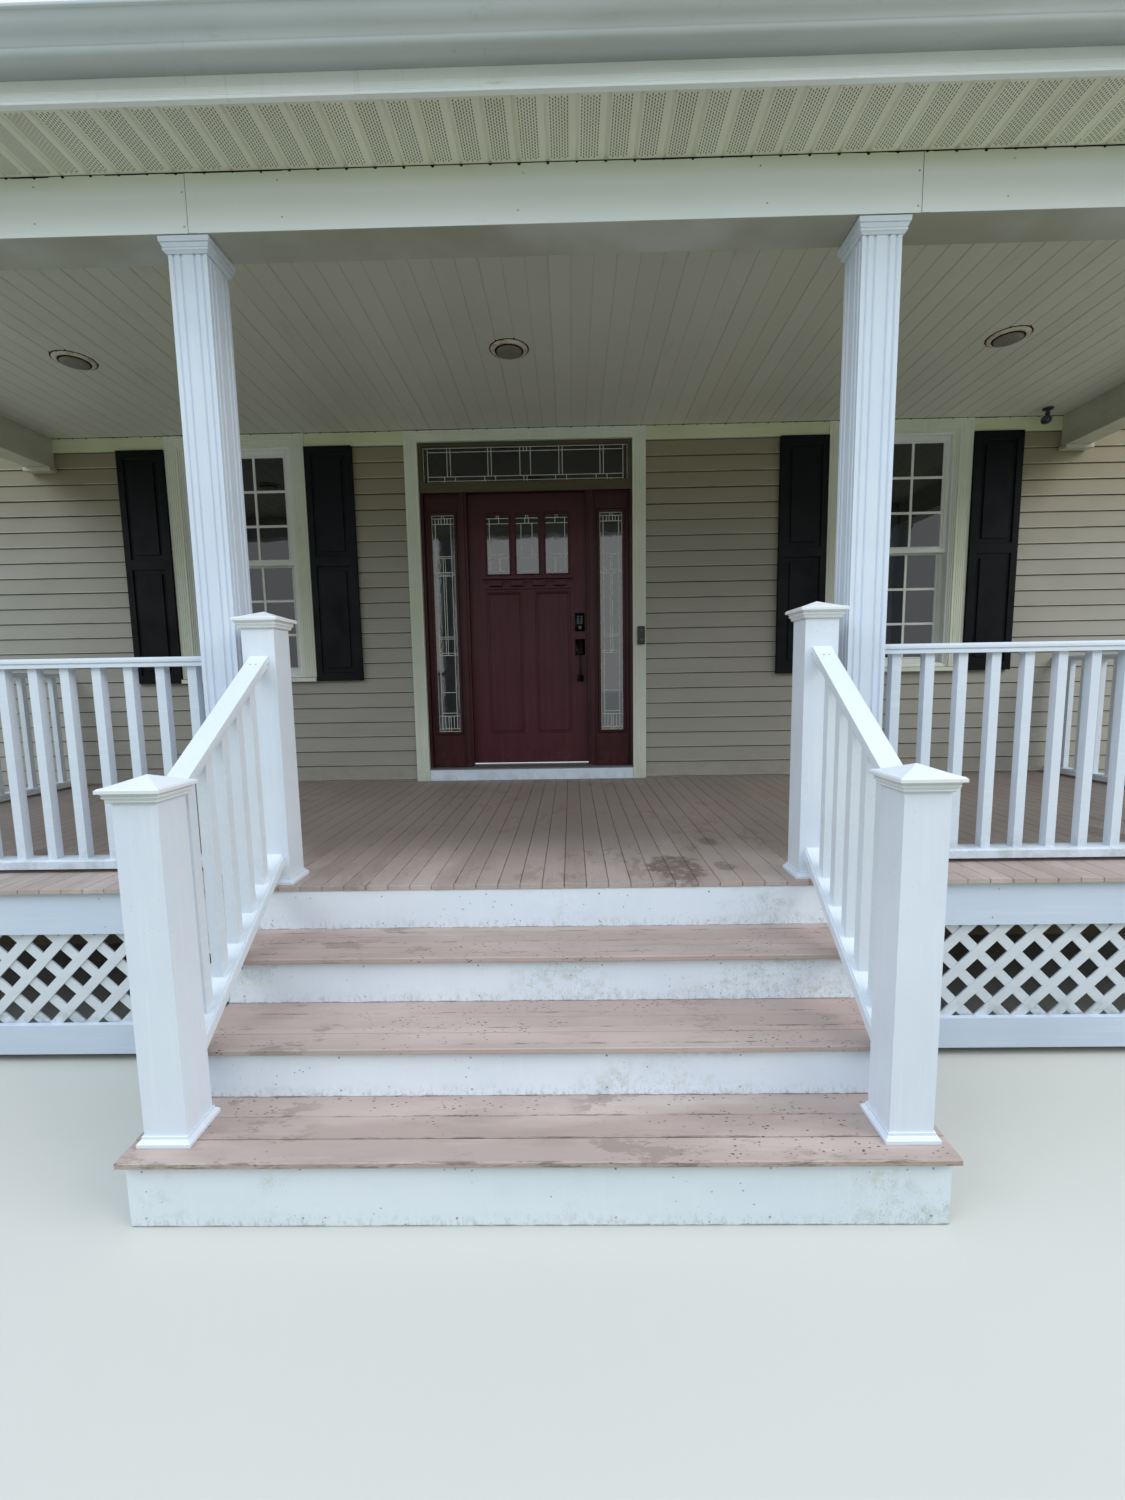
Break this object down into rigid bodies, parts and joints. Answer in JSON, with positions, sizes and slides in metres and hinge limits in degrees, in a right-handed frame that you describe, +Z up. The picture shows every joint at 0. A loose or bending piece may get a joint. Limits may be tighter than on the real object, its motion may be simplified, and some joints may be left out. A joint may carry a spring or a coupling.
{
  "type": "covered house front porch with steps and entrance",
  "caption": "Raised covered front porch with fluted columns, railed steps and deck, lattice skirts and shed roof, on a house wall with an entrance door, sidelights and shuttered windows.",
  "frame": {"origin": "on the ground, under the middle of the part's bounding box", "axes": "+X to the right along the house wall, +Y into the house, +Z up; the steps face -Y"},
  "size_m": [8.9, 3.389, 4.2964],
  "materials": {
    "foundation_concrete": "rough cast concrete",
    "pier_concrete": "rough cast concrete",
    "framing_wood": "bare sawn lumber",
    "house_wall": "plain sheathed framed wall",
    "tan_siding": "low sheen embossed",
    "trim_white": "satin white, lightly soiled",
    "door_red": "satin dark red over wood grain",
    "threshold_metal": "brushed, worn",
    "transom_brown": "satin dark olive brown",
    "clear_glass": "clear",
    "dark_hardware": "oil rubbed dark bronze",
    "black_plastic": "matte",
    "window_white": "satin",
    "shutter_black": "satin black",
    "deck_paint": "worn matte porch paint",
    "lattice_white": "matte, soiled",
    "stair_white": "painted, scuffed and soiled",
    "rail_white": "satin vinyl",
    "column_white": "satin",
    "ceiling_panel": "matte off-white",
    "light_metal": "white enamel with rust and dirt",
    "soffit_panel": "matte off-white, vented",
    "fascia_metal": "satin white",
    "gutter_metal": "gloss white",
    "shingle": "granular asphalt"
  },
  "bodies": {
    "porch": {"foundation_wall": "foundation_concrete", "sill_beam": "framing_wood", "wall_left": "house_wall", "wall_right": "house_wall", "wall_over_door": "house_wall", "wall_siding": "tan_siding", "frieze_board": "trim_white", "door_frame": "door_red", "door_threshold": "threshold_metal", "door_sill_board": "trim_white", "door_casing": "trim_white", "sidelight_panels": "door_red", "transom_frame": "transom_brown", "entry_glass": "clear_glass", "doorbell": "black_plastic", "window_casings": "trim_white", "window_sashes": "window_white", "window_glass": "clear_glass", "shutters": "shutter_black", "porch_piers": "pier_concrete", "deck_frame": "framing_wood", "deck_floor": "deck_paint", "deck_rim_boards": "trim_white", "lattice_front": "lattice_white", "lattice_sides": "lattice_white", "lattice_boards": "trim_white", "stair_stringers": "stair_white", "stair_risers": "stair_white", "stair_treads": "deck_paint", "newel_posts": "rail_white", "newel_caps": "rail_white", "stair_rails": "rail_white", "deck_rails_front": "rail_white", "deck_rails_side": "rail_white", "columns": "column_white", "column_capitals": "column_white", "front_beam": "trim_white", "side_beams": "trim_white", "porch_ceiling": "ceiling_panel", "ceiling_lights": "light_metal", "security_camera": "black_plastic", "eave_soffit": "soffit_panel", "fascia_boards": "fascia_metal", "gutter": "gutter_metal", "roof_rafters": "framing_wood", "roof_deck": "framing_wood", "roof_shingles": "shingle", "roof_end_walls": "tan_siding"},
    "front_door": {"door_slab": "door_red", "door_glass": "clear_glass", "door_handle_set": "dark_hardware", "door_lock": "dark_hardware", "door_hinges": "dark_hardware"}
  },
  "joints": [
    {"name": "front_door_hinge", "type": "hinge", "parent": "porch", "child": "front_door", "pos_m": [-0.658, 1.6415, 1.854], "axis": [0, 0, 1], "range_deg": [0, 100]}
  ]
}
